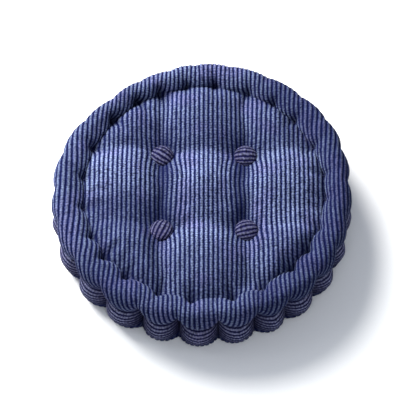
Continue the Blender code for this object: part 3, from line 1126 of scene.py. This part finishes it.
@dataclass
class Panel:
    """A round panel, cut along its wales: columns run along them, five to each wale."""

    settling: Settling
    face: Face
    pitch: float = WALE_PITCH
    ridge: float = 0.0014
    rows: int = 119
    wall: float = 0.0011
    phases: Sequence[float] = (0.0, 0.17, 0.38, 0.62, 0.83)
    painted_shade_width: float = math.radians(2.2)

    def columns(self) -> Array:
        """Places of the columns across the cloth."""
        edge = self.settling.form.cloth_radius(self.face) - 0.0004
        count = int(edge / self.pitch) + 1
        places = (np.arange(-count, count)[:, None] + np.array(self.phases)).ravel() * self.pitch
        inside = places[np.abs(places) < edge]
        return np.concatenate([[-edge], inside, [edge]])

    def build(self, name: str) -> bpy.types.Object:
        """Make the panel. Each wale is a ridge, lower where the cloth is gathered."""
        form = self.settling.form
        across = self.columns()[:, None]
        half = np.sqrt(form.cloth_radius(self.face) ** 2 - across**2)
        along = np.linspace(-1.0, 1.0, self.rows)[None, :] * half
        across = np.broadcast_to(across, along.shape)
        reach, bearing = np.hypot(across, along), np.arctan2(across, -along)
        points = self.settling.panel(reach, bearing, self.face)
        outward = normals_of(points) * self.face.value
        width = np.linalg.norm(np.gradient(points, axis=0), axis=-1)
        slack = np.clip(width / np.gradient(across, axis=0), 0.25, 1.05)
        points = points + outward * (self.ridge * wale_outline(across, self.pitch) * slack)[..., None]
        if self.face is Face.LOWER:
            points[..., 2] = np.maximum(points[..., 2], 0.0)
        faces = grid_faces(*points.shape[:2], False)
        if self.face is Face.LOWER:
            faces = faces[:, ::-1]
        cloth = np.stack([across, along], axis=-1)
        crease = self.crease(reach, bearing)
        piece = sheet_of_cloth(name, points, faces, cloth, crease, Slot.CORDUROY, self.wall)
        return piece

    def crease(self, reach: Array, bearing: Array) -> Array:
        """Painted shade, from 0 to 1: in the groove, at its corners, along the seam, in the pinches, round
        the tufts, along the side valleys and by region.
        """
        form = self.settling.form
        # Painted shade in the groove, at its corners, along the seam and in the pinches.
        past = reach - form.face_cloth
        groove = bell(past, 0.0045)
        corner = form.stitches.corner(bearing, self.painted_shade_width) * bell(past, 0.014)
        rim = form.rims[self.face]
        seam = bell(past - rim.cloth, 0.006)
        pinch = form.stitches.pinch(bearing, self.painted_shade_width) * smooth(past / rim.cloth, 0.6, 0.95)
        x, y = reach * np.sin(bearing), -reach * np.cos(bearing)
        # Painted shade round each tuft and along the side valleys, set 3 mm towards -x onto the slopes that
        # face away from the key lamp.
        tuft = 0.78 * bell(form.tuft_distance(x, y), 0.021)
        valley = 0.88 * bell(np.abs(x + 0.003) - form.tuft, 0.014)
        valley = valley * (1.0 - smooth(np.abs(y), 0.7 * form.tuft, 2.2 * form.tuft))
        total = 0.6 * groove + 0.6 * corner + 0.5 * seam + 0.8 * pinch + tuft + valley
        return np.clip(total + self.painted_falloff(x, y, past), 0.0, 1.0)

    def painted_falloff(self, x: Array, y: Array, past: Array) -> Array:
        """Painted shade by region, for the fall of light: darker away from the tops of the middle puffs.

        Each region has its share of painted shade, with smooth steps at its borders.

        Args:
            x: place across the panel.
            y: place along it, from the front to the back.
            past: cloth distance beyond the groove.
        """
        tuft = self.settling.form.tuft
        left_front = 0.58 * smooth(-y, -0.004, 0.030) - 0.12 * smooth(-y, tuft, tuft + 0.024)
        left_front = left_front * smooth(-x, tuft - 0.004, tuft + 0.026)
        middle = 0.18 * smooth(-y, -0.002, 0.025) * (1.0 - smooth(-y, tuft - 0.014, tuft + 0.004))
        middle = middle * (1.0 - smooth(np.abs(x), tuft - 0.020, tuft))
        right_front = 0.30 * smooth(x, tuft, tuft + 0.030) * smooth(-y, tuft - 0.004, tuft + 0.018)
        front = 0.34 * smooth(-y, 0.074, 0.125) * (1.0 - smooth(np.abs(x), tuft, tuft + 0.03))
        back = 0.34 * smooth(y, tuft + 0.006, tuft + 0.026) + 0.14 * bell(y - 0.082, 0.022)
        face = (left_front + middle + right_front + front + back) * (1.0 - smooth(past, -0.010, 0.004))
        # Painted shade on the rolls, most on the right side and at the front.
        sides = 0.66 * smooth(x, 0.040, 0.150) + 0.28 * smooth(-x, 0.060, 0.160)
        ends = 0.38 * smooth(-y, 0.08, 0.16) + 0.12 * smooth(y, 0.10, 0.18)
        roll = np.clip(sides + ends + 0.12, 0.0, 0.72) * smooth(past, 0.0, 0.012)
        return face + roll


@dataclass
class SideBand:
    """The band round the side, with its wales running round it."""

    settling: Settling
    pitch: float = WALE_PITCH
    ridge: float = 0.0010
    width: float = 0.0475
    columns: int = 720
    rows: int = 60
    wall: float = 0.0011
    allowance: float = 0.10
    painted_shade_width: float = math.radians(4.0)
    deepest: float = 1.35

    def build(self, name: str) -> bpy.types.Object:
        """Make the band: ridges of the same outline as a panel's, one above the other."""
        form = self.settling.form
        share = np.linspace(-self.allowance, 1.0 + self.allowance, self.rows)[None, :]
        bearing = np.linspace(0.0, TURN, self.columns, endpoint=False)[:, None]
        share, bearing = np.broadcast_arrays(share, bearing)
        points = self.settling.band(share, bearing)
        outward = -normals_of(points, closed=True)
        down = share * self.width
        points = points + outward * (self.ridge * wale_outline(down, self.pitch))[..., None]
        faces = grid_faces(self.columns, self.rows, True)[:, ::-1]
        round_it = bearing * (form.face_cloth + form.rims[Face.UPPER].cloth)
        cloth = np.stack([down, round_it], axis=-1)
        # Painted shade in the pinches, along both seams and broadly towards the lower seam, and round the
        # back, where the key lamp lights the band.
        pinch = form.stitches.pinch(bearing, self.painted_shade_width)
        seam = 0.5 * bell(share, 0.05) + 0.6 * bell(1.0 - share, 0.30)
        behind = 0.34 * smooth(-np.cos(bearing), -0.35, 0.35)
        crease = np.clip(1.5 * pinch * (1.0 - 0.6 * share) + seam + behind, 0.0, self.deepest)
        piece = sheet_of_cloth(name, points, faces, cloth, crease, Slot.BAND, self.wall)
        return piece


@dataclass
class Fill:
    """The stuffing, a closed body just inside the cover."""

    settling: Settling
    inset: float = 0.0026
    groove_inset: float = 0.0045

    def build(self, name: str) -> bpy.types.Object:
        """Make the fill: the settled cover moved in along its normals, and further in the grooves."""
        grid = self.settling.start + self.settling.moved
        inward = normals_of(grid, closed=True)
        poles = self.settling.poles() + np.array([[0.0, 0.0, -self.inset], [0.0, 0.0, self.inset]])
        depth = np.full(grid.shape[1], self.inset)
        for face, reach in self.settling.reach.items():
            past = reach - self.settling.form.face_cloth
            depth[self.settling.rows_of(face)] += self.groove_inset * bell(past, 0.010)
        points = grid + inward * depth[:, None]
        points[..., 2] = np.maximum(points[..., 2], self.inset)
        poles[:, 2] = np.maximum(poles[:, 2], self.inset)
        piece = shown(name, self.settling.closed_mesh(name, points, poles), Slot.FIBRE, name)
        return piece


@dataclass
class CoveredButton:
    """A covered button: corduroy drawn over a domed cap and gathered underneath."""

    name: str
    centre: Array
    face: Face
    turn: float
    lean: tuple[float, float]
    radius: float = 0.0149
    height: float = 0.0092
    edge: float = 0.0032
    hem: float = 0.0050
    pitch: float = BUTTON_PITCH
    ridge: float = 0.0007
    columns_a_wale: int = 8
    rows: int = 49
    gathers: int = 22
    wall: float = 0.0006

    def build(self) -> bpy.types.Object:
        """Make the cover: a disc of cloth bent over the cap, then turned and leant."""
        cut = self.cloth_radius()
        count = int(2.0 * cut / self.pitch * self.columns_a_wale)
        across = np.linspace(-0.995 * cut, 0.995 * cut, count)[:, None]
        along = np.linspace(-1.0, 1.0, self.rows)[None, :] * np.sqrt(cut**2 - across**2)
        across = np.broadcast_to(across, along.shape)
        reach, bearing = np.hypot(across, along), np.arctan2(along, across)
        points = self.bent(reach, bearing)
        outward = normals_of(points)
        points = points + outward * (self.ridge * wale_outline(across, self.pitch, 0.5))[..., None]
        points = self.posed(points)
        faces = grid_faces(*points.shape[:2], False)
        cloth = np.stack([across + 0.5 * self.pitch + 10.0 * self.pitch, along + self.turn], axis=-1)
        # Painted shade round the button's edge and on the cloth turned under it.
        crease = 0.9 * smooth(reach, 0.78 * self.radius, 1.25 * self.radius)
        return sheet_of_cloth(self.name, points, faces, cloth, crease, Slot.BUTTON, self.wall)

    def dome_cloth(self) -> float:
        """Cloth from the middle of the dome to its edge."""
        return 1.06 * self.radius

    def cloth_radius(self) -> float:
        """Cloth from the middle of the dome down its side and in under it."""
        return self.dome_cloth() + self.edge + self.hem

    def bent(self, reach: Array, bearing: Array) -> Array:
        """The cloth over the cap: an ellipse for the dome, then an upright edge, then a flat hem.

        Args:
            reach: cloth distance from the middle.
            bearing: direction on the cloth, in radians.
        """
        dome = self.dome_cloth()
        turn = np.clip(reach / dome, 0.0, 1.0) * (math.pi / 2.0)
        down = np.clip((reach - dome) / self.edge, 0.0, 1.0)
        under = np.clip((reach - dome - self.edge) / self.hem, 0.0, 1.0)
        ring = self.radius * np.sin(turn) ** 0.92 - self.hem * under - 0.0004 * down
        top = self.edge + (self.height - self.edge) * np.cos(turn)
        pleat = 0.00045 * np.sin(self.gathers * bearing) * smooth(reach, 0.9 * dome, dome + self.edge)
        ring = ring + pleat
        height = np.where(reach < dome, top, self.edge * (1.0 - down)) + 0.0003 * under
        return stacked(ring * np.cos(bearing), ring * np.sin(bearing), height)

    def posed(self, points: Array) -> Array:
        """The button turned about its axis, leant, turned over if it is a lower one, and placed."""
        cos, sin = math.cos(self.turn), math.sin(self.turn)
        x, y, z = points[..., 0], points[..., 1], points[..., 2]
        x, y = x * cos - y * sin, x * sin + y * cos
        z = z + x * self.lean[0] + y * self.lean[1]
        if self.face is Face.LOWER:
            y, z = -y, -z
        return stacked(x, y, z) + self.centre


@dataclass
class StitchRow:
    """A row of short stitches that cross the creases of a rim, as one piece."""

    settling: Settling
    face: Face
    in_groove: bool
    thickness: float = 0.0011
    half_length: float = 0.0042
    band_start: float = 0.02
    band_share: float = 0.14
    rise: float = 0.0021
    dip: float = 0.0030
    points: int = 7
    sides: int = 8

    def build(self, name: str) -> bpy.types.Object:
        """Make the row: each stitch is a tube along an arch that dips into the cloth at its ends."""
        form = self.settling.form
        offsets = np.linspace(-1.0, 1.0, self.points)[None, :]
        if self.in_groove:
            reach = form.face_cloth + self.half_length * offsets
            reach, bearing = np.broadcast_arrays(reach, form.stitches.corners()[:, None])
            path = self.settling.panel(reach, bearing, self.face)
            outward = np.array([0.0, 0.0, float(self.face.value)])
        else:
            share = self.band_start + self.band_share * (offsets + 1.0) / 2.0
            share = share if self.face is Face.UPPER else 1.0 - share
            share, bearing = np.broadcast_arrays(share, form.stitches.pinches()[:, None])
            path = self.settling.band(share, bearing)
            outward = path.mean(axis=1, keepdims=True) * np.array([1.0, 1.0, 0.0])
            outward = outward / np.linalg.norm(outward, axis=-1, keepdims=True)
        arch = self.rise - self.dip * offsets**4
        path = path + outward * arch[..., None]
        mesh = tubes(name, path, self.thickness / 2.0, self.sides)
        return shown(name, mesh, Slot.THREAD, name)


def tubes(name: str, paths: Array, radius: float, sides: int) -> bpy.types.Mesh:
    """Round tubes with closed ends, one along each path.

    Each ring of a tube lies across the path's direction, on two axes at right angles to it.

    Args:
        name: the mesh's name.
        paths: paths by points by three.
        radius: the tube's radius.
        sides: points on each ring.
    """
    along = np.gradient(paths, axis=1)
    along /= np.linalg.norm(along, axis=-1, keepdims=True)
    upright = np.where(np.abs(along[..., 2:]) > 0.9, [1.0, 0.0, 0.0], [0.0, 0.0, 1.0])
    first = np.cross(upright, along)
    first /= np.linalg.norm(first, axis=-1, keepdims=True)
    second = np.cross(along, first)
    turn = np.linspace(0.0, TURN, sides, endpoint=False)[:, None]
    rings = first[:, :, None] * np.cos(turn) + second[:, :, None] * np.sin(turn)
    rings = paths[:, :, None] + rings * radius
    count, points = paths.shape[:2]
    block = points * sides
    ring = np.arange(sides)
    following = (ring + 1) % sides
    step = np.arange(points - 1)[:, None] * sides
    wall = np.stack([step + ring, step + following, step + sides + following, step + sides + ring], -1)
    base = np.arange(count)[:, None, None] * block
    quads = (wall.reshape(1, -1, 4) + base).reshape(-1, 4)
    caps = np.stack([ring[::-1], ring + block - sides])
    ends = (caps[None] + base).reshape(-1, sides)
    return mesh_of(name, rings, quads.tolist() + ends.tolist())


# ---------------------------------------------------------------- studio


@dataclass
class Lamp:
    """A large soft lamp, aimed at the cushion from a bearing, a height and a distance."""

    name: str
    bearing: float
    elevation: float
    distance: float
    size: float
    power: float
    colour: Colour = (1.0, 1.0, 1.0)

    def build(self, aim: Vector) -> None:
        """Put the lamp in the scene. Bearing 0 is behind the camera, and it grows towards +X."""
        turn, rise = math.radians(self.bearing), math.radians(self.elevation)
        data = bpy.data.lights.new(self.name, "AREA")
        data.shape = "DISK"
        data.size = self.size
        data.energy = self.power
        data.color = self.colour
        lamp = bpy.data.objects.new(self.name, data)
        flat = math.cos(rise)
        towards = Vector((math.sin(turn) * flat, -math.cos(turn) * flat, math.sin(rise)))
        lamp.location = aim + towards * self.distance
        lamp.rotation_euler = (-towards).to_track_quat("-Z", "Y").to_euler()
        bpy.context.scene.collection.objects.link(lamp)


@dataclass
class Studio:
    """A plain pale floor, soft lamps and the camera."""

    aim: Vector
    elevation: float = 61.7
    distance: float = 2.60
    lens: float = 171.5
    sensor: float = 36.0
    shift: tuple[float, float] = (-0.0098, 0.0030)
    floor_half: float = 4.0
    air: Colour = (0.82, 0.88, 1.0)
    air_strength: float = 0.38

    def lamps(self) -> list[Lamp]:
        """The key lamp from behind on the left, a broad fill and a faint front."""
        return [
            Lamp("key", 221.0, 38.0, 1.5, 1.30, 86.0, (1.0, 0.99, 0.96)),
            Lamp("fill", 250.0, 50.0, 2.0, 1.4, 9.0, (0.90, 0.95, 1.0)),
            Lamp("front", 10.0, 55.0, 2.2, 1.8, 12.0, (0.90, 0.94, 1.0)),
        ]

    def build(self) -> None:
        """Make the floor, the air's light, the lamps and the camera."""
        half = self.floor_half
        corners = np.array([[-1.0, -1.0, 0.0], [1.0, -1.0, 0.0], [1.0, 1.0, 0.0], [-1.0, 1.0, 0.0]]) * half
        mesh = mesh_of("floor", corners, np.array([[0, 1, 2, 3]]))
        mesh.materials.append(Paper("pale_paper", (0.93, 0.93, 0.93)).make())
        floor = bpy.data.objects.new("floor", mesh)
        bpy.context.scene.collection.objects.link(floor)
        world = bpy.data.worlds.new("studio_air")
        world.use_nodes = True
        sky = world.node_tree.nodes["Background"]
        sky.inputs["Color"].default_value = (*self.air, 1.0)
        sky.inputs["Strength"].default_value = self.air_strength
        bpy.context.scene.world = world
        for lamp in self.lamps():
            lamp.build(self.aim)
        self.camera()
        bpy.context.scene.view_settings.view_transform = "Standard"

    def camera(self) -> None:
        """A camera in front of the cushion, high up and looking down at it."""
        data = bpy.data.cameras.new("camera")
        data.lens = self.lens
        data.sensor_width = self.sensor
        data.shift_x, data.shift_y = self.shift
        data.clip_start = 0.01
        camera = bpy.data.objects.new("camera", data)
        rise = math.radians(self.elevation)
        back = Vector((0.0, -math.cos(rise), math.sin(rise)))
        camera.location = self.aim + back * self.distance
        camera.rotation_euler = (-back).to_track_quat("-Z", "Y").to_euler()
        bpy.context.scene.collection.objects.link(camera)
        bpy.context.scene.camera = camera


# ---------------------------------------------------------------- assembly


@dataclass
class Cushion:
    """The whole cushion: places from the frame, its new pieces, and the CAD pieces it keeps."""

    nodes: dict[str, bpy.types.Object]
    turns: dict[str, float] = field(
        default_factory=lambda: {
            "back_left": 57.0, "back_right": 92.0, "front_left": -24.0, "front_right": 104.0,
        }
    )
    leans: dict[str, tuple[float, float]] = field(
        default_factory=lambda: {
            "back_left": (-0.02, 0.07), "back_right": (-0.05, 0.06),
            "front_left": (0.04, -0.02), "front_right": (-0.03, 0.02),
        }
    )

    def form(self) -> CushionForm:
        """The cover's form, sized by the frame."""
        cap_low, cap_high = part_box("upper_button_cover_back_right")
        return CushionForm(
            height=CAD_BOX[1].z,
            tuft=(cap_low.x + cap_high.x) / 2.0,
            seat_z=cap_low.z - 0.0008,
            button_radius=(cap_high.x - cap_low.x) / 2.0,
        )

    def build(self) -> None:
        """Make every piece in order, and dress the CAD pieces."""
        settling = Settling(self.form())
        settling.run()
        for face in Face:
            side = face.name.lower()
            self.report(Panel(settling, face).build("top_panel" if face is Face.UPPER else "bottom_panel"))
            for row in ("groove", "band"):
                self.report(StitchRow(settling, face, row == "groove").build(f"{side}_{row}_thread"))
            for place in self.turns:
                self.report(self.button(face, f"{side}_button_cover_{place}", place))
        self.report(SideBand(settling).build("side_band"))
        self.report(Fill(settling).build("fibre_fill"))
        self.dress()

    def button(self, face: Face, name: str, place: str) -> bpy.types.Object:
        """One covered button, on its seat."""
        low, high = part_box(name)
        seat = low.z if face is Face.UPPER else high.z
        centre = np.array([(low.x + high.x) / 2.0, (low.y + high.y) / 2.0, seat])
        turn = math.radians(self.turns[place] + (0.0 if face is Face.UPPER else 35.0))
        return CoveredButton(name, centre, face, turn, self.leans[place]).build()

    def dress(self) -> None:
        """Give each CAD piece that stays its finish."""
        for name, node in self.nodes.items():
            if node.hide_render:
                continue
            slot = self.slot_of(name)
            node.data.materials.clear()
            node.data.materials.append(material_for(slot))
            LOG.info("%s keeps its CAD mesh, in %s", name, slot.value)

    @staticmethod
    def slot_of(name: str) -> Slot:
        """The finish of a kept CAD piece."""
        if "wire_loop" in name:
            return Slot.WIRE
        return Slot.TWINE if "twine" in name else Slot.METAL

    @staticmethod
    def report(piece: bpy.types.Object) -> None:
        """Say what was made."""
        LOG.info("%s: %d faces", piece.name, len(piece.data.polygons))


def main() -> None:
    """Build the cushion and its studio."""
    logging.basicConfig(level=logging.INFO, format="%(name)s %(message)s")
    Cushion(frame["nodes"]).build()
    low, high = CAD_BOX
    Studio(aim=(low + high) / 2.0).build()


if __name__ == "__main__":
    main()
